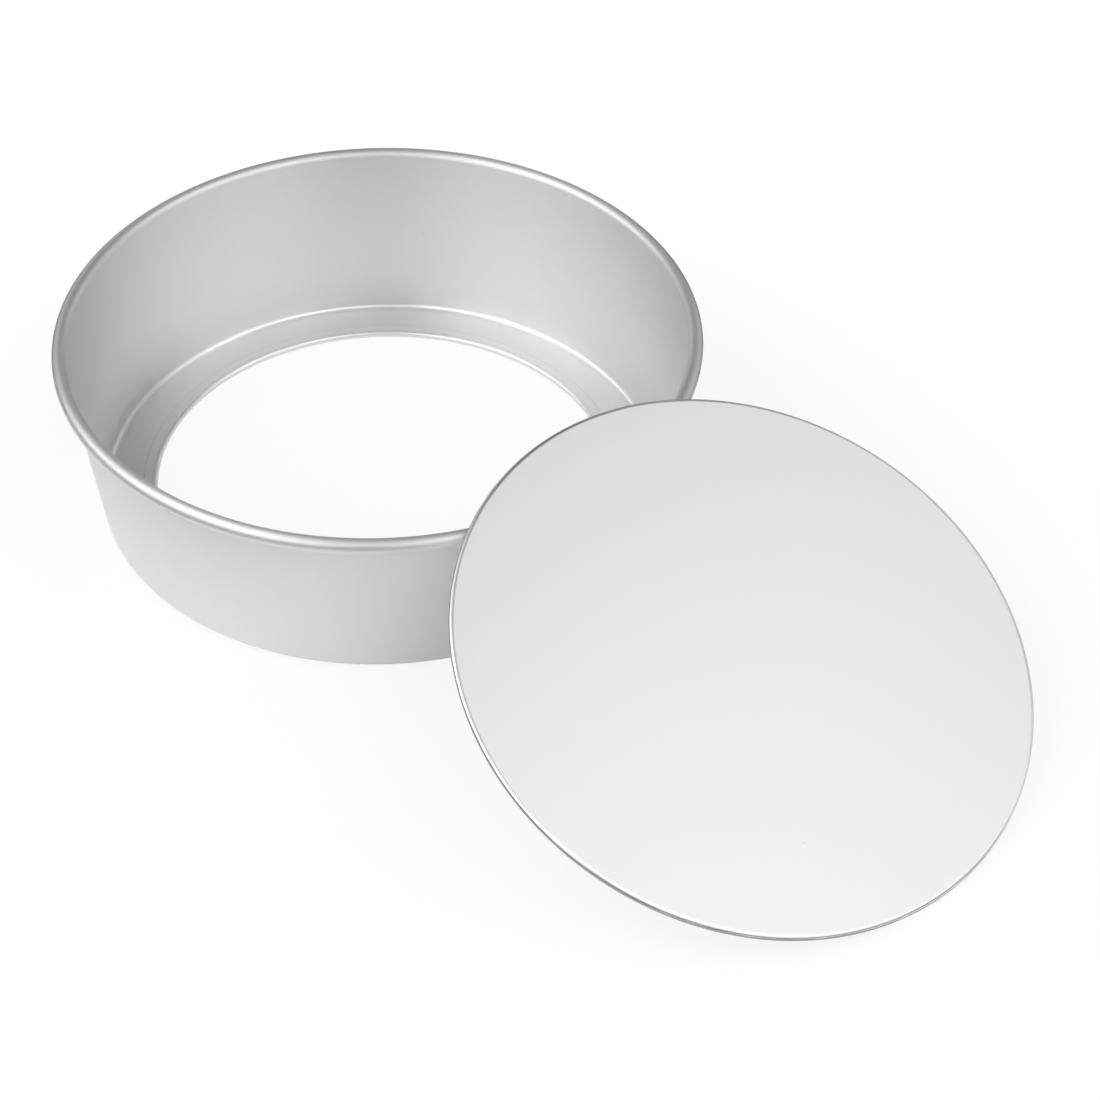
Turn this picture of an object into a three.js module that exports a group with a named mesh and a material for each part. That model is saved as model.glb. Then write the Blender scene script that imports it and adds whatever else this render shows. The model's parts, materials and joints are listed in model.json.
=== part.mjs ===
import * as THREE from 'three';

// Loose-base cake tin, taken apart: the ring stands on the table and the base leans on its rim.
// Millimetres, +Z up. +X runs from the ring to the base. The origin is the middle of the footprint.

// Ring: one sheet of even thickness
const RIM_DIAMETER = 260;
const HEIGHT = 76.2;
const SHEET = 1.2;
const SEAT_DIAMETER = 229;
const LEDGE_WIDTH = 21.25;
const BEAD_DIAMETER = 6;
const BEAD_GAP = 0.7;
const CORNER_RADIUS = 2.4;
const HEM_WIDTH = 6;
const HEM_GAP = 0.4;

// Loose base: a flat plate with softened edges
const BASE_CLEARANCE = 1;
const BASE_THICKNESS = 2.5;
const BASE_EDGE_RADIUS = 0.7;

// Lean: how far the base's upper edge reaches past the rim, and the gap where they meet
const BASE_OVERHANG = 25.5;
const CONTACT_GAP = 0.3;

// Steps round the axis and round each bend of the section
const TURN_STEPS = 88;
const BEAD_STEPS = 14;
const CORNER_STEPS = 5;
const HEM_STEPS = 6;
const EDGE_STEPS = 3;

const QUARTER = Math.PI / 2;

const rimRadius = RIM_DIAMETER / 2;
const beadRadius = BEAD_DIAMETER / 2;
const beadCentre = new THREE.Vector2(rimRadius - beadRadius, HEIGHT - beadRadius);
const hemThickness = 2 * SHEET + HEM_GAP;
const seatHeight = hemThickness;
const seatRadius = SEAT_DIAMETER / 2;
const openingRadius = seatRadius - LEDGE_WIDTH;
const baseRadius = seatRadius - BASE_CLEARANCE;

// Points on an arc of a section, from one angle to another, both ends included
function arc(centre, radius, from, to, steps) {
  const points = [];
  for (let i = 0; i <= steps; i += 1) {
    const angle = THREE.MathUtils.lerp(from, to, i / steps);
    points.push(new THREE.Vector2(Math.cos(angle), Math.sin(angle)).multiplyScalar(radius).add(centre));
  }
  return points;
}

// Unit vector square to the step between two points, on its left
function leftOf(from, to) {
  const step = to.clone().sub(from);
  return new THREE.Vector2(-step.y, step.x).normalize();
}

// Closed outline of a bent sheet: its middle line moved half the thickness to each side
function sheetOutline(middle, thickness) {
  const left = [];
  const right = [];
  const last = middle.length - 1;
  middle.forEach((point, i) => {
    const before = leftOf(middle[Math.max(i - 1, 0)], middle[Math.max(i, 1)]);
    const after = leftOf(middle[Math.min(i, last - 1)], middle[Math.min(i + 1, last)]);
    const normal = before.clone().add(after).normalize();
    const reach = thickness / 2 / normal.dot(before);
    left.push(point.clone().addScaledVector(normal, reach));
    right.push(point.clone().addScaledVector(normal, -reach));
  });
  return [...right, ...left.reverse(), right[0].clone()];
}

// Solid turned about Z from an outline of radius and height
function turned(outline) {
  return new THREE.LatheGeometry(outline, TURN_STEPS).rotateX(QUARTER);
}

// Anodised sheet, plain and satin
function anodised(color, roughness) {
  return new THREE.MeshStandardMaterial({ color, roughness, metalness: 0.9 });
}

// Middle line of the ring's sheet, from the hem's cut edge to the end of the rolled bead
function ringMiddleLine() {
  // The hem folds under the ledge, so the opening has a round edge
  const hemCentre = new THREE.Vector2(openingRadius + hemThickness / 2, hemThickness / 2);
  const hemEdge = new THREE.Vector2(openingRadius + HEM_WIDTH, SHEET / 2);
  const hemFold = arc(hemCentre, (SHEET + HEM_GAP) / 2, -QUARTER, -3 * QUARTER, HEM_STEPS);
  const ledgeBend = new THREE.Vector2(openingRadius + HEM_WIDTH, seatHeight - SHEET / 2);

  // The wall's inner face runs from the seat to the inner side of the bead
  const seatToBead = beadCentre.clone().sub(new THREE.Vector2(seatRadius, seatHeight));
  const taper = Math.atan2(seatToBead.x, seatToBead.y) - Math.asin(beadRadius / seatToBead.length());

  // The corner touches the table and meets the wall and the sloping ledge smoothly
  const cornerBend = CORNER_RADIUS + SHEET / 2;
  const beadBend = beadRadius - SHEET / 2;
  const cornerHeight = CORNER_RADIUS + SHEET;
  const slant = (beadCentre.y - cornerHeight) * Math.tan(taper);
  const inset = slant + (cornerBend + beadBend) / Math.cos(taper);
  const cornerCentre = new THREE.Vector2(beadCentre.x - inset, cornerHeight);
  const toLedge = ledgeBend.clone().sub(cornerCentre);
  const ledgeAngle = toLedge.angle() + Math.acos(cornerBend / toLedge.length());
  const corner = arc(cornerCentre, cornerBend, ledgeAngle, 2 * Math.PI - taper, CORNER_STEPS);

  // The bead rolls outwards and down until its edge is one gap away from the wall
  const beadEnd = -taper - Math.acos((BEAD_GAP + SHEET - beadRadius) / beadRadius);
  const bead = arc(beadCentre, beadBend, Math.PI - taper, beadEnd, BEAD_STEPS);

  return [hemEdge, ...hemFold, ledgeBend, ...corner, ...bead];
}

// Ring: tapered wall, rolled rim, turned-in ledge and hem
function tinRing() {
  const outline = sheetOutline(ringMiddleLine(), SHEET);
  const ring = new THREE.Mesh(turned(outline), anodised(0xc4c4c2, 0.42));
  ring.name = 'tin_ring';
  return ring;
}

// Loose base: its underside is at zero, and both edges are rounded alike
function looseBase() {
  const edge = baseRadius - BASE_EDGE_RADIUS;
  const lower = new THREE.Vector2(edge, BASE_EDGE_RADIUS);
  const upper = new THREE.Vector2(edge, BASE_THICKNESS - BASE_EDGE_RADIUS);
  const outline = [
    new THREE.Vector2(0, 0),
    ...arc(lower, BASE_EDGE_RADIUS, -QUARTER, 0, EDGE_STEPS),
    ...arc(upper, BASE_EDGE_RADIUS, 0, QUARTER, EDGE_STEPS),
    new THREE.Vector2(0, BASE_THICKNESS),
  ];
  const base = new THREE.Mesh(turned(outline), anodised(0xd6d6d4, 0.46));
  base.name = 'loose_base';
  return base;
}

// Lean the base: its lower edge stands on the table and its underside meets the top of the bead
function lean(base) {
  const along = 2 * baseRadius - BASE_EDGE_RADIUS - BASE_OVERHANG;
  const across = beadRadius + CONTACT_GAP + BASE_EDGE_RADIUS;
  const rise = beadCentre.y - BASE_EDGE_RADIUS;
  const tilt = Math.atan2(across, along) + Math.asin(rise / Math.hypot(along, across));
  const upSlope = new THREE.Vector3(-Math.cos(tilt), 0, Math.sin(tilt));
  const facing = new THREE.Vector3(Math.sin(tilt), 0, Math.cos(tilt));
  base.rotation.y = tilt;
  base.position
    .set(beadCentre.x, 0, beadCentre.y)
    .addScaledVector(facing, beadRadius + CONTACT_GAP)
    .addScaledVector(upSlope, BASE_OVERHANG - baseRadius);
}

const tin = new THREE.Group();
const ring = tinRing();
const base = looseBase();
lean(base);
tin.add(ring, base);

const footprint = new THREE.Box3().setFromObject(tin, true).getCenter(new THREE.Vector3());
tin.position.x = -footprint.x;

export default tin;
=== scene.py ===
"""Loose-base cake tin, taken apart: the ring stands on a white floor and the base leans on its rim.

Metres, +Z up, +X from the ring towards the base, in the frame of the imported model.
"""
import json
import math

import bpy
from mathutils import Matrix, Vector


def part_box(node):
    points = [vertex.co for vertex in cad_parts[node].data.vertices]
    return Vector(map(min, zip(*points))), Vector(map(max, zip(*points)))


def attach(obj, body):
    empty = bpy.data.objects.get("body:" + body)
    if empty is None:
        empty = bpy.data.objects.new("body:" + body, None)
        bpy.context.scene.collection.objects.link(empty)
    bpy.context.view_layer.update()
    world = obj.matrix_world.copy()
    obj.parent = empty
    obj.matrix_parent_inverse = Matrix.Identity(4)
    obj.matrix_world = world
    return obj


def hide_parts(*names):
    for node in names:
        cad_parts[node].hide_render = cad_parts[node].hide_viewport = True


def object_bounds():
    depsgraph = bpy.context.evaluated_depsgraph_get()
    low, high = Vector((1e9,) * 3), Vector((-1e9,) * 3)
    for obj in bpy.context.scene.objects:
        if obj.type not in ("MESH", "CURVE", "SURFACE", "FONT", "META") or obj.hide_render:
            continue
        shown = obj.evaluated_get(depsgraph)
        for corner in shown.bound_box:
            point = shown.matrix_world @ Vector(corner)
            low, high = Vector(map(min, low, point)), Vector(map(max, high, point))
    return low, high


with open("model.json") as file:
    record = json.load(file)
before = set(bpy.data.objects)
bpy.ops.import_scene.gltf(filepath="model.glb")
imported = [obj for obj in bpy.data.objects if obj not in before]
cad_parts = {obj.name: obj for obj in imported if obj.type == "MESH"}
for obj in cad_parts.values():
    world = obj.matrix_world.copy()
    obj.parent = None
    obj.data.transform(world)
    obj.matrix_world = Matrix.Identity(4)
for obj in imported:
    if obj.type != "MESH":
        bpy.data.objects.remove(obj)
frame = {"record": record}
cad_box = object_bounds()

# Ring: one sheet of even thickness, bent into a hem, a ledge, a wall and a rolled bead
SHEET = 0.0012
SEAT_DIAMETER = 0.229
SEAT_RADIUS = SEAT_DIAMETER / 2
LEDGE_WIDTH = 0.02125
OPENING_RADIUS = SEAT_RADIUS - LEDGE_WIDTH
BEAD_RADIUS = 0.003
BEAD_GAP = 0.0007
CORNER_RADIUS = 0.0024
HEM_WIDTH = 0.006
HEM_GAP = 0.0004
CUT_EDGE_RADIUS = 0.0002

# Shallow marks that forming leaves in the ring's sheet: distances along it, each with the depth there
FOLD_CREASE = (
    (0, 0),
    (0.0003, 0.00006),
    (0.0006, 0.00018),
    (0.0008, 0.0002),
    (0.0016, 0.00014),
    (0.0042, 0),
)
HEM_MARK = ((0, 0), (0.0002, 0.0001), (0.0004, 0.00013), (0.0018, 0))
ROLLER_MARK = ((-0.0006, 0), (-0.0003, 0.00003), (0, 0.00006), (0.0003, 0.00003), (0.0006, 0))
ROLLER_MARK_DROP = 0.0115

# Bands on the ledge, as distances outwards from the opening: the fold's crease line and the hem's mark
# line, which get painted shade and are rubbed smooth, and the fold, which is rubbed smooth
FOLD_LINE = (0.0018, 0.0021)
HEM_LINE = (0.0054, 0.0057)
FOLD_RUB = (-0.0002, 0.0021)

# Band in the corner that forming rubbed smooth, as distances outwards from the seat's edge
FILLET_RUB = (-0.0024, 0.0006)

# Loose base: a flat plate, softened below, its upper edge rolled over and rubbed smooth, with painted
# shade on the cut edge standing in for the shaded floor that it mirrors
BASE_THICKNESS = 0.0025
BASE_EDGE_RADIUS = 0.0007
BASE_ROLL_WIDTH = 0.0018
BASE_ROLL_DEPTH = 0.00115
BASE_RUB_WIDTH = 0.0014
BASE_CUT_WIDTH = 0.00016

# Steps round the axis, and the angle of one step round a bend of the section
TURN_STEPS = 256
BEND_STEP = math.radians(7.5)

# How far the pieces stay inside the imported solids, whose rounds have fewer steps
INSET = 0.00002

# Satin anodised metal: its tones, with painted shade tones for the ring's crease and hem lines and the
# base's cut edge, and its roughness where it is plain and where it is rubbed smooth
METALLIC = 1
DARK_TONE = (0.725, 0.725, 0.725, 1)
LIGHT_TONE = (0.755, 0.755, 0.755, 1)
SPECK_TONE = (0.6, 0.6, 0.6, 1)
RING_CREASE_SHADE_TONE = (0.6, 0.6, 0.6, 1)
BASE_CUT_SHADE_TONE = (0.33, 0.33, 0.33, 1)
ROUGHNESS_RANGE = (0.43, 0.47)
RING_RUBBED_ROUGHNESS = 0.34
BASE_RUBBED_ROUGHNESS = 0.3

# Spun finish of the ring: how far its highlights spread, and their turn from the lines round the axis
SPUN_SPREAD = 0.7
SPUN_TURN = 0.25

# Patterns in the metal: clouds, etched grain, fine lines, a few specks, and the waver of its bands
PATTERN_DETAIL = 2
PATTERN_MIDDLE = 0.5
CLOUD_SIZE = 0.04
GRAIN_SIZE = 0.00025
GRAIN_DEPTH = 0.000004
STREAK_SIZE = 0.0004
ROLLED_SCALE = (0.02, 1, 1)
SPECK_SPACING = 0.016
SPECK_RADIUS = 0.0003
SPECK_SHARE = 0.35
WOBBLE_SIZE = 0.008
WOBBLE_REACH = 0.0004

# Camera of the photograph: its turn from -Y towards +X, height angle, roll, distance, target and lens
CAMERA_AZIMUTH = math.radians(47.32)
CAMERA_ELEVATION = math.radians(41.58)
CAMERA_ROLL = math.radians(0.42)
CAMERA_DISTANCE = 1.2326
CAMERA_TARGET = Vector((0.01926, -0.00902, 0.03782))
CAMERA_LENS = 104.27
CAMERA_SENSOR = 36

# Floor: room round the tin, colour, share of its shade that the camera sees, fade, and white in the metal
FLOOR_MARGIN = 0.12
FLOOR_COLOUR = (0.9, 0.9, 0.9, 1)
FLOOR_SHADE = 0.16
FLOOR_FADE = 3
FLOOR_REFLECTED = 0.13

# Backdrop: white to the camera, dim in the metal, and dimmer still as a light
BACKDROP_COLOUR = (1, 1, 1, 1)
BACKDROP_REFLECTED = 0.12
WORLD_LEVEL = 0.1

# Soft lamps: compass angle from +X, height angle, angles across and up in degrees, and level, 1 for white
LAMP_DISTANCE = 1.5
LAMP_AIM = Vector((0, 0, 0.04))
SOFT_LAMPS = {
    "left_box": (235, 30, 66, 24, 2.1),
    "front_left_box": (284, 30, 30, 24, 1.7),
    "front_box": (313, 32, 26, 30, 0.4),
    "front_right_box": (340, 30, 28, 24, 0.7),
    "right_box": (27, 30, 64, 24, 1.2),
    "back_box": (105, 28, 66, 24, 0.4),
    "left_back_high": (203, 55, 40, 26, 1.05),
    "left_high": (247, 55, 40, 26, 1.25),
    "front_left_high": (284, 56, 30, 26, 1.05),
    "front_right_high": (340, 56, 28, 26, 1.65),
    "right_high": (25, 55, 40, 26, 1.5),
    "back_high": (76, 55, 22, 26, 1.35),
    "right_low": (78, 9, 62, 18, 0.75),
    "left_back": (178, 20, 46, 38, 0.5),
    "top": (0, 89.9, 44, 44, 0.4),
}

QUARTER = math.pi / 2

# Places of the two colours and of the result among the sockets of a Mix node
MIX_COLOURS = (6, 7)
MIX_RESULT = 2


def arc(centre, radius, start, end):
    """Points of a section on an arc, both ends included."""
    steps = max(2, math.ceil(abs(end - start) / BEND_STEP))
    angles = [start + (end - start) * i / steps for i in range(steps + 1)]
    return [centre + radius * Vector((math.cos(a), math.sin(a))) for a in angles]


def left_of(start, end):
    """Unit vector square to the step between two points, on its left."""
    step = (end - start).normalized()
    return Vector((-step.y, step.x))


def offset(line, distance):
    """A section line moved to its left, so that the sheet is as thick at each bend."""
    moved = []
    for i, point in enumerate(line):
        before = left_of(line[max(i - 1, 0)], line[max(i, 1)])
        after = left_of(line[min(i, len(line) - 2)], line[min(i + 1, len(line) - 1)])
        normal = (before + after).normalized()
        moved.append(point + normal * (distance / normal.dot(before)))
    return moved


def place_nearest(line, near):
    """Distance along a section line to its place nearest to a point."""
    travelled = 0
    found = []
    for start, end in zip(line, line[1:]):
        step = end - start
        share = min(max((near - start).dot(step) / step.length_squared, 0), 1)
        found.append(((near - start - step * share).length, travelled + share * step.length))
        travelled += step.length
    return min(found)[1]


def place_at(line, distance):
    """Point of a section line at a distance along it, and the unit vector on its left there."""
    for start, end in zip(line, line[1:]):
        length = (end - start).length
        if distance <= length:
            return start.lerp(end, distance / length), left_of(start, end)
        distance -= length
    return line[-1], left_of(line[-2], line[-1])


def pressed(line, near, mark, side):
    """A section line with a shallow mark near a point, pressed to its left (side 1) or right (-1)."""
    zero = place_nearest(line, near)
    dent = []
    for along, depth in mark:
        point, left = place_at(line, zero + along)
        dent.append(point + left * (side * depth))
    travelled = 0
    before = [line[0]]
    after = []
    for start, end in zip(line, line[1:]):
        travelled += (end - start).length
        if travelled < zero + mark[0][0]:
            before.append(end)
        elif travelled > zero + mark[-1][0]:
            after.append(end)
    return before + dent + after


def cut_edge(end, inner):
    """Cut edge of the sheet at one end of its middle line, its corners broken, from right to left."""
    along = (end - inner).normalized()
    left = Vector((-along.y, along.x))
    reach = SHEET / 2 - CUT_EDGE_RADIUS
    heading = math.atan2(along.y, along.x)
    setback = end - along * CUT_EDGE_RADIUS
    right_corner = arc(setback - left * reach, CUT_EDGE_RADIUS, heading - QUARTER, heading)
    left_corner = arc(setback + left * reach, CUT_EDGE_RADIUS, heading, heading + QUARTER)
    return right_corner + left_corner


def turned(name, outline, closed, place):
    """Placed piece, turned about Z from an outline of radius and height, closed or ending on the axis."""
    vertices = []
    rows = []
    for radius, height in outline:
        if radius == 0:
            rows.append([len(vertices)] * TURN_STEPS)
            vertices.append((0, 0, height))
            continue
        rows.append(range(len(vertices), len(vertices) + TURN_STEPS))
        for step in range(TURN_STEPS):
            angle = math.tau * step / TURN_STEPS
            vertices.append((radius * math.cos(angle), radius * math.sin(angle), height))
    faces = []
    for i in range(len(rows) if closed else len(rows) - 1):
        lower = rows[i]
        upper = rows[(i + 1) % len(rows)]
        for step in range(TURN_STEPS):
            after = (step + 1) % TURN_STEPS
            corners = (lower[step], lower[after], upper[after], upper[step])
            faces.append(tuple(dict.fromkeys(corners)))
    mesh = bpy.data.meshes.new(name)
    mesh.from_pydata(vertices, [], faces)
    mesh.transform(place)
    mesh.shade_smooth()
    piece = bpy.data.objects.new(name, mesh)
    bpy.context.scene.collection.objects.link(piece)
    normals = piece.modifiers.new("Even normals", "WEIGHTED_NORMAL")
    normals.mode = "FACE_AREA"
    return piece


def ring_outline(rim_radius, height):
    """Closed outline of the ring's bent sheet."""
    bead_centre = Vector((rim_radius - BEAD_RADIUS, height - BEAD_RADIUS))
    seat_height = 2 * SHEET + HEM_GAP

    # The hem folds under the ledge, so the opening has a round edge
    hem_centre = Vector((OPENING_RADIUS + seat_height / 2, seat_height / 2))
    hem_edge = Vector((OPENING_RADIUS + HEM_WIDTH, SHEET / 2))
    hem_fold = arc(hem_centre, (SHEET + HEM_GAP) / 2, -QUARTER, -3 * QUARTER)
    ledge_bend = Vector((OPENING_RADIUS + HEM_WIDTH, seat_height - SHEET / 2))

    # The wall's inner face runs from the seat to the inner side of the bead
    seat_to_bead = bead_centre - Vector((SEAT_RADIUS, seat_height))
    taper = math.atan2(seat_to_bead.x, seat_to_bead.y) - math.asin(BEAD_RADIUS / seat_to_bead.length)

    # The corner touches the table and meets the wall and the sloping ledge smoothly
    corner_bend = CORNER_RADIUS + SHEET / 2
    bead_bend = BEAD_RADIUS - SHEET / 2
    corner_height = CORNER_RADIUS + SHEET
    slant = (bead_centre.y - corner_height) * math.tan(taper)
    inset = slant + (corner_bend + bead_bend) / math.cos(taper)
    corner_centre = Vector((bead_centre.x - inset, corner_height))
    to_ledge = ledge_bend - corner_centre
    past_ledge = math.acos(corner_bend / to_ledge.length)
    ledge_angle = math.atan2(to_ledge.y, to_ledge.x) + math.tau + past_ledge
    corner = arc(corner_centre, corner_bend, ledge_angle, math.tau - taper)

    # The bead rolls outwards and down until its edge is one gap away from the wall
    bead_end = -taper - math.acos((BEAD_GAP + SHEET - BEAD_RADIUS) / BEAD_RADIUS)
    bead = arc(bead_centre, bead_bend, math.pi - taper, bead_end)

    middle = [hem_edge, *hem_fold, ledge_bend, *corner, *bead]
    inner_face = offset(middle, SHEET / 2)[1:-1]
    outer_face = offset(middle, -SHEET / 2)[1:-1]

    # Forming leaves a crease behind the fold, the hem's mark and a roller's mark below the bead
    fold_top = Vector((hem_centre.x, seat_height))
    hem_shadow = Vector((OPENING_RADIUS + HEM_LINE[0], seat_height))
    roller = Vector((bead_centre.x - BEAD_RADIUS, height - ROLLER_MARK_DROP))
    inner_face = pressed(inner_face, fold_top, FOLD_CREASE, -1)
    inner_face = pressed(inner_face, hem_shadow, HEM_MARK, -1)
    outer_face = pressed(outer_face, roller, ROLLER_MARK, 1)

    hem_cut = cut_edge(middle[0], middle[1])
    bead_cut = cut_edge(middle[-1], middle[-2])
    return hem_cut + outer_face + bead_cut + inner_face[::-1]


def band(radius, reach):
    """Inner and outer radius of a band, from its distances outwards from a radius."""
    return radius + reach[0], radius + reach[1]


def make_ring():
    """Ring: tapered wall, rolled rim, turned-in ledge and hem."""
    lowest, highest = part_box("tin_ring")
    rim_radius = (highest.y - lowest.y) / 2
    place = Matrix.Translation((lowest.x + rim_radius, 0, INSET))
    outline = ring_outline(rim_radius - INSET, highest.z - 2 * INSET)
    ring = turned("ring_sheet", outline, True, place)
    # The crease and hem-mark lines get painted shade; they, the fold and the corner fillet are rubbed
    # smooth
    lines = [band(OPENING_RADIUS, FOLD_LINE), band(OPENING_RADIUS, HEM_LINE)]
    rubbed = [*lines, band(OPENING_RADIUS, FOLD_RUB), band(SEAT_RADIUS, FILLET_RUB)]
    metal = anodised(
        "ring_anodised",
        place,
        turning_lines,
        lines,
        RING_CREASE_SHADE_TONE,
        rubbed,
        RING_RUBBED_ROUGHNESS,
    )
    spin(metal)
    ring.data.materials.append(metal)
    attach(ring, "ring")
    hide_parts("tin_ring")


def make_base():
    """Loose base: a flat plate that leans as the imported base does, its upper face at its own zero."""
    lowest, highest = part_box("loose_base")
    radius = (highest.y - lowest.y) / 2 - INSET
    lower = Vector((radius - BASE_EDGE_RADIUS, BASE_EDGE_RADIUS - BASE_THICKNESS))
    roll_size = Vector((BASE_ROLL_WIDTH, BASE_ROLL_DEPTH))
    quarter_circle = arc(Vector((0, 0)), 1, 0, QUARTER)
    rolled = [Vector((1 - p.x, 1 - p.y)) * roll_size for p in quarter_circle]
    outline = [
        Vector((0, -BASE_THICKNESS)),
        *arc(lower, BASE_EDGE_RADIUS, -QUARTER, 0),
        *(Vector((radius, 0)) - p for p in rolled),
        Vector((0, 0)),
    ]
    face = next(mount for mount in frame["record"]["mounts"] if mount["name"] == "base_face")
    tilt = math.atan2(face["axis"][0], face["axis"][2])
    place = Matrix.Translation(face["pos_m"]) @ Matrix.Rotation(tilt, 4, "Y")
    base = turned("base_plate", outline, False, place)
    # The cut edge gets painted shade, a dark reflection of the shaded floor below it painted into its
    # colour; the roll is rubbed smooth
    cut = band(radius, (-BASE_CUT_WIDTH, BASE_CUT_WIDTH))
    roll = band(radius, (-BASE_RUB_WIDTH, BASE_CUT_WIDTH))
    metal = anodised(
        "base_anodised",
        place,
        rolling_lines,
        [cut],
        BASE_CUT_SHADE_TONE,
        [roll],
        BASE_RUBBED_ROUGHNESS,
    )
    base.data.materials.append(metal)
    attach(base, "base")
    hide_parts("loose_base")


def add(tree, kind, **settings):
    """New node in a node tree, with its settings and the fixed values of its named inputs."""
    node = tree.nodes.new(kind)
    for name, value in settings.items():
        if name in node.inputs:
            node.inputs[name].default_value = value
        else:
            setattr(node, name, value)
    return node


def math_node(tree, operation, first, second=0):
    """Output of a Math node; each operand is a number or another node's output."""
    node = add(tree, "ShaderNodeMath", operation=operation)
    for socket, operand in zip(node.inputs, (first, second)):
        if isinstance(operand, bpy.types.NodeSocket):
            tree.links.new(operand, socket)
        else:
            socket.default_value = operand
    return node.outputs["Value"]


def average(tree, first, second):
    """Output halfway between two nodes' outputs."""
    return math_node(tree, "MULTIPLY", math_node(tree, "ADD", first, second), 1 / 2)


def noise(tree, vector, size, detail=PATTERN_DETAIL):
    """Output of a noise pattern whose features have about this size."""
    node = add(tree, "ShaderNodeTexNoise", Scale=1 / size, Detail=detail)
    tree.links.new(vector, node.inputs["Vector"])
    return node.outputs["Fac"]


def distance_from_axis(tree, local):
    """Distance of a point from a piece's own axis."""
    parts = add(tree, "ShaderNodeSeparateXYZ")
    tree.links.new(local, parts.inputs["Vector"])
    across = math_node(tree, "MULTIPLY", parts.outputs["X"], parts.outputs["X"])
    deep = math_node(tree, "MULTIPLY", parts.outputs["Y"], parts.outputs["Y"])
    return math_node(tree, "SQRT", math_node(tree, "ADD", across, deep))


def turning_lines(tree, local):
    """Fine lines round the axis, from turning the sheet against a roller."""
    parts = add(tree, "ShaderNodeSeparateXYZ")
    tree.links.new(local, parts.inputs["Vector"])
    section = add(tree, "ShaderNodeCombineXYZ")
    tree.links.new(distance_from_axis(tree, local), section.inputs["X"])
    tree.links.new(parts.outputs["Z"], section.inputs["Y"])
    return noise(tree, section.outputs["Vector"], STREAK_SIZE)


def rolling_lines(tree, local):
    """Fine straight lines along the plate, from rolling the sheet."""
    stretch = add(tree, "ShaderNodeVectorMath", operation="MULTIPLY")
    stretch.inputs[1].default_value = ROLLED_SCALE
    tree.links.new(local, stretch.inputs[0])
    return noise(tree, stretch.outputs["Vector"], STREAK_SIZE)


def specks(tree, local):
    """1 on a few pin-prick specks, 0 elsewhere."""
    cells = add(tree, "ShaderNodeTexVoronoi", Scale=1 / SPECK_SPACING)
    tree.links.new(local, cells.inputs["Vector"])
    near = math_node(tree, "LESS_THAN", cells.outputs["Distance"], SPECK_RADIUS / SPECK_SPACING)
    draw = add(tree, "ShaderNodeSeparateColor")
    tree.links.new(cells.outputs["Color"], draw.inputs["Color"])
    chosen = math_node(tree, "LESS_THAN", draw.outputs["Red"], SPECK_SHARE)
    return math_node(tree, "MULTIPLY", near, chosen)


def shade_and_rub_bands(tree, local, bands):
    """1 in the slightly wavering bands round the axis, 0 elsewhere: bands rubbed smooth, and bands that
    get painted shade.
    """
    waver = math_node(tree, "SUBTRACT", noise(tree, local, WOBBLE_SIZE, detail=0), PATTERN_MIDDLE)
    shift = math_node(tree, "MULTIPLY", waver, WOBBLE_REACH)
    radius = math_node(tree, "ADD", distance_from_axis(tree, local), shift)
    shade_and_rub_mask = 0
    for low, high in bands:
        outside = math_node(tree, "GREATER_THAN", radius, low)
        inside = math_node(tree, "LESS_THAN", radius, high)
        shade_and_rub_mask = math_node(tree, "MAXIMUM", shade_and_rub_mask, math_node(tree, "MULTIPLY", outside, inside))
    return shade_and_rub_mask


def mix_colour(tree, factor, first, second):
    """Output of a colour mix; each colour is a value or another node's output."""
    node = add(tree, "ShaderNodeMix", data_type="RGBA")
    tree.links.new(factor, node.inputs["Factor"])
    for place, colour in zip(MIX_COLOURS, (first, second)):
        socket = node.inputs[place]
        if isinstance(colour, bpy.types.NodeSocket):
            tree.links.new(colour, socket)
        else:
            socket.default_value = colour
    return node.outputs[MIX_RESULT]


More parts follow.
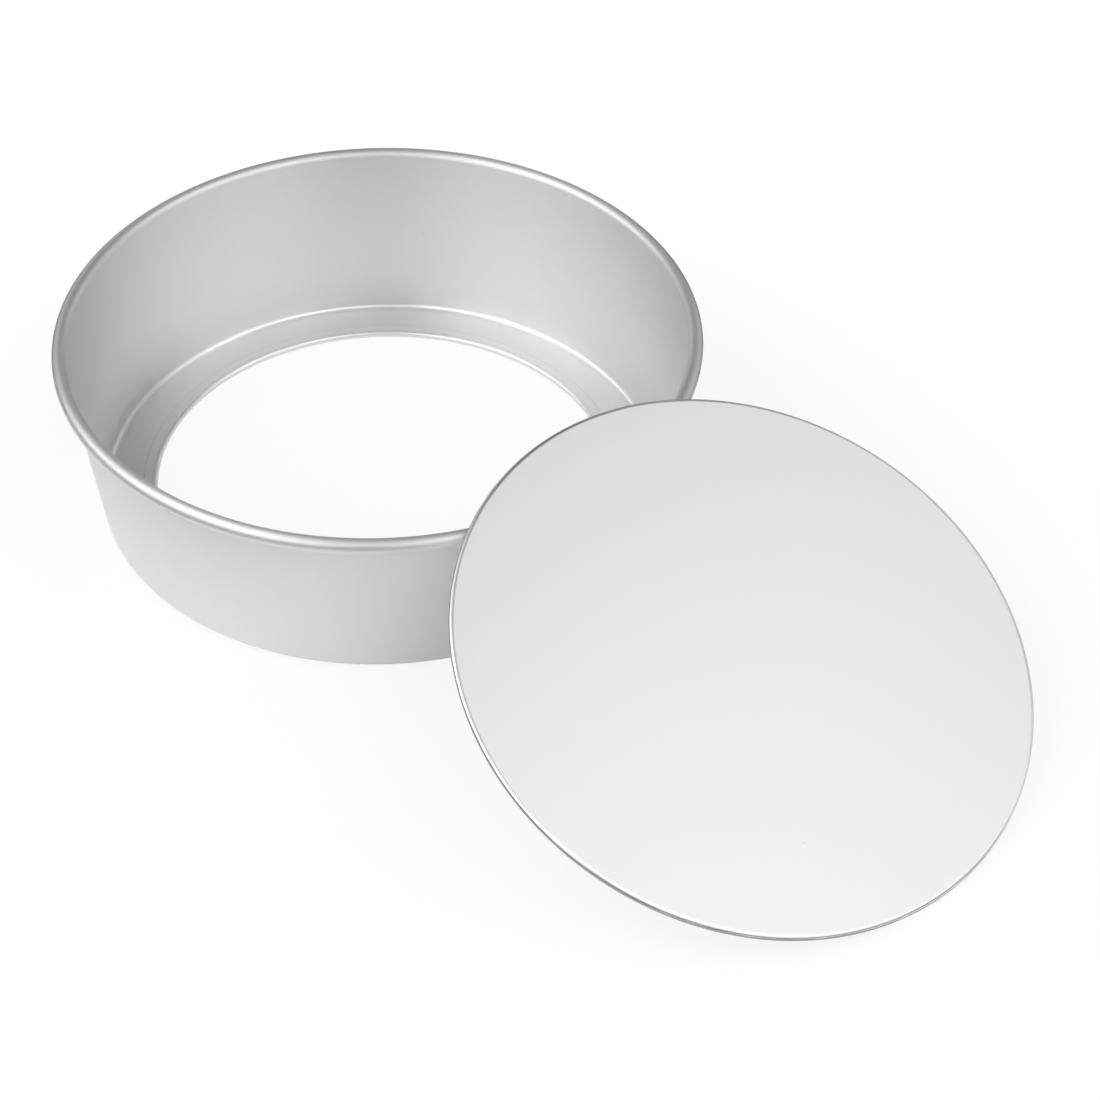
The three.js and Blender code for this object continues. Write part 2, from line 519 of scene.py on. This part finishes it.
def anodised(name, place, lines_of_making, painted_shade_bands, painted_shade_tone, smooth_bands, smooth_roughness):
    """Satin anodised aluminium: faint clouds, etched grain, fine lines, specks, bands rubbed smooth and
    bands of painted shade.
    """
    material = bpy.data.materials.new(name)
    material.use_nodes = True
    tree = material.node_tree
    shader = tree.nodes["Principled BSDF"]
    shader.inputs["Metallic"].default_value = METALLIC

    coordinates = add(tree, "ShaderNodeTexCoord")
    own = add(tree, "ShaderNodeMapping", vector_type="TEXTURE")
    own.inputs["Location"].default_value = place.to_translation()
    own.inputs["Rotation"].default_value = place.to_euler()
    tree.links.new(coordinates.outputs["Object"], own.inputs["Vector"])
    local = own.outputs["Vector"]

    cloud = noise(tree, local, CLOUD_SIZE)
    grain = noise(tree, local, GRAIN_SIZE)
    lines = lines_of_making(tree, local)

    tone = mix_colour(tree, average(tree, cloud, grain), DARK_TONE, LIGHT_TONE)
    speckled = mix_colour(tree, specks(tree, local), tone, SPECK_TONE)
    # Painted shade: the given bands take the darker shade tone
    painted_shade_mask = shade_and_rub_bands(tree, local, painted_shade_bands)
    tree.links.new(mix_colour(tree, painted_shade_mask, speckled, painted_shade_tone), shader.inputs["Base Color"])

    # The roughness of the plain metal falls to that of the rubbed bands inside them
    satin = add(tree, "ShaderNodeMapRange")
    satin.inputs["To Min"].default_value = ROUGHNESS_RANGE[0]
    satin.inputs["To Max"].default_value = ROUGHNESS_RANGE[1]
    tree.links.new(average(tree, cloud, lines), satin.inputs["Value"])
    rougher = math_node(tree, "SUBTRACT", satin.outputs["Result"], smooth_roughness)
    plain = math_node(tree, "SUBTRACT", 1, shade_and_rub_bands(tree, local, smooth_bands))
    added = math_node(tree, "MULTIPLY", rougher, plain)
    tree.links.new(math_node(tree, "ADD", added, smooth_roughness), shader.inputs["Roughness"])

    bump = add(tree, "ShaderNodeBump", Strength=1, Distance=GRAIN_DEPTH)
    tree.links.new(math_node(tree, "ADD", grain, lines), bump.inputs["Height"])
    tree.links.new(bump.outputs["Normal"], shader.inputs["Normal"])
    return material


def spin(material):
    """Spun finish: highlights spread across the lines that run round the axis."""
    tree = material.node_tree
    shader = tree.nodes["Principled BSDF"]
    shader.inputs["Anisotropic"].default_value = SPUN_SPREAD
    shader.inputs["Anisotropic Rotation"].default_value = SPUN_TURN
    round_axis = add(tree, "ShaderNodeTangent", direction_type="RADIAL", axis="Z")
    tree.links.new(round_axis.outputs["Tangent"], shader.inputs["Tangent"])


def ray_kinds(tree):
    """1 on rays from the camera, and 1 on rays that metal or glass passes on."""
    path = add(tree, "ShaderNodeLightPath")
    glossy = path.outputs["Is Glossy Ray"]
    through = path.outputs["Is Transmission Ray"]
    return path.outputs["Is Camera Ray"], math_node(tree, "MAXIMUM", glossy, through)


def floor_paper(across, deep):
    """Paper that metal sees a little lifted, and the camera as white with a share of its shade."""
    material = bpy.data.materials.new("floor_white")
    material.use_nodes = True
    tree = material.node_tree
    tree.nodes.clear()
    paper = add(tree, "ShaderNodeBsdfDiffuse", Color=FLOOR_COLOUR)
    white = add(tree, "ShaderNodeEmission")
    lift = add(tree, "ShaderNodeEmission")
    lifted = add(tree, "ShaderNodeAddShader")
    camera_ray, passed_on = ray_kinds(tree)
    tree.links.new(math_node(tree, "MULTIPLY", passed_on, FLOOR_REFLECTED), lift.inputs["Strength"])
    tree.links.new(paper.outputs["BSDF"], lifted.inputs[0])
    tree.links.new(lift.outputs["Emission"], lifted.inputs[1])

    # The share of shade fades out towards the floor's rim
    coordinates = add(tree, "ShaderNodeTexCoord")
    spread = add(tree, "ShaderNodeMapping", vector_type="TEXTURE")
    spread.inputs["Scale"].default_value = (across, deep, 1)
    tree.links.new(coordinates.outputs["Object"], spread.inputs["Vector"])
    fade = add(tree, "ShaderNodeTexGradient", gradient_type="SPHERICAL")
    tree.links.new(spread.outputs["Vector"], fade.inputs["Vector"])
    near = math_node(tree, "MINIMUM", math_node(tree, "MULTIPLY", fade.outputs["Fac"], FLOOR_FADE), 1)
    white_seen = math_node(tree, "SUBTRACT", 1, math_node(tree, "MULTIPLY", near, FLOOR_SHADE))

    mix = add(tree, "ShaderNodeMixShader")
    output = add(tree, "ShaderNodeOutputMaterial")
    tree.links.new(math_node(tree, "MULTIPLY", camera_ray, white_seen), mix.inputs["Fac"])
    tree.links.new(lifted.outputs["Shader"], mix.inputs[1])
    tree.links.new(white.outputs["Emission"], mix.inputs[2])
    tree.links.new(mix.outputs["Shader"], output.inputs["Surface"])
    return material


def make_floor():
    """White floor, a little larger than the tin."""
    across = cad_box[1][0] + FLOOR_MARGIN
    deep = cad_box[1][1] + FLOOR_MARGIN
    corners = [(-across, -deep, 0), (across, -deep, 0), (across, deep, 0), (-across, deep, 0)]
    mesh = bpy.data.meshes.new("floor")
    mesh.from_pydata(corners, [], [(0, 1, 2, 3)])
    mesh.materials.append(floor_paper(across, deep))
    floor = bpy.data.objects.new("floor", mesh)
    bpy.context.scene.collection.objects.link(floor)


def make_world():
    """White backdrop for the camera, and dim even light from above the horizon."""
    world = bpy.data.worlds.new("studio")
    bpy.context.scene.world = world
    world.use_nodes = True
    tree = world.node_tree
    background = tree.nodes["Background"]
    background.inputs["Color"].default_value = BACKDROP_COLOUR
    coordinates = add(tree, "ShaderNodeTexCoord")
    parts = add(tree, "ShaderNodeSeparateXYZ")
    tree.links.new(coordinates.outputs["Generated"], parts.inputs["Vector"])
    above = math_node(tree, "GREATER_THAN", parts.outputs["Z"], 0)
    camera_ray, passed_on = ray_kinds(tree)
    mirrored = math_node(tree, "MULTIPLY", passed_on, BACKDROP_REFLECTED)
    dim = math_node(tree, "MULTIPLY", above, math_node(tree, "MAXIMUM", mirrored, WORLD_LEVEL))
    strength = math_node(tree, "MAXIMUM", camera_ray, dim)
    tree.links.new(strength, background.inputs["Strength"])


def make_lamp(name, compass, rise, wide, tall, level):
    """Soft rectangular lamp that faces the tin from one side."""
    data = bpy.data.lights.new(name, "AREA")
    data.shape = "RECTANGLE"
    data.size = 2 * LAMP_DISTANCE * math.tan(math.radians(wide / 2))
    data.size_y = 2 * LAMP_DISTANCE * math.tan(math.radians(tall / 2))
    data.energy = level * math.pi * data.size * data.size_y
    lamp = bpy.data.objects.new(name, data)
    bpy.context.scene.collection.objects.link(lamp)
    lamp.visible_camera = False
    turn = math.radians(compass)
    lift = math.radians(rise)
    towards = Vector((
        math.cos(turn) * math.cos(lift),
        math.sin(turn) * math.cos(lift),
        math.sin(lift),
    ))
    aim = (-towards).to_track_quat("-Z", "Y").to_matrix().to_4x4()
    lamp.matrix_world = Matrix.Translation(LAMP_AIM + towards * LAMP_DISTANCE) @ aim


def make_camera():
    """Camera at the photograph's viewing angle."""
    data = bpy.data.cameras.new("camera")
    data.lens = CAMERA_LENS
    data.sensor_width = CAMERA_SENSOR
    camera = bpy.data.objects.new("camera", data)
    bpy.context.scene.collection.objects.link(camera)
    back = Vector((
        math.sin(CAMERA_AZIMUTH) * math.cos(CAMERA_ELEVATION),
        -math.cos(CAMERA_AZIMUTH) * math.cos(CAMERA_ELEVATION),
        math.sin(CAMERA_ELEVATION),
    ))
    aim = (-back).to_track_quat("-Z", "Y").to_matrix().to_4x4()
    roll = Matrix.Rotation(CAMERA_ROLL, 4, "Z")
    camera.matrix_world = Matrix.Translation(CAMERA_TARGET + back * CAMERA_DISTANCE) @ aim @ roll
    bpy.context.scene.camera = camera


make_ring()
make_base()
make_floor()
make_world()
for lamp_name, lamp_values in SOFT_LAMPS.items():
    make_lamp(lamp_name, *lamp_values)
make_camera()
bpy.context.scene.view_settings.view_transform = "Standard"
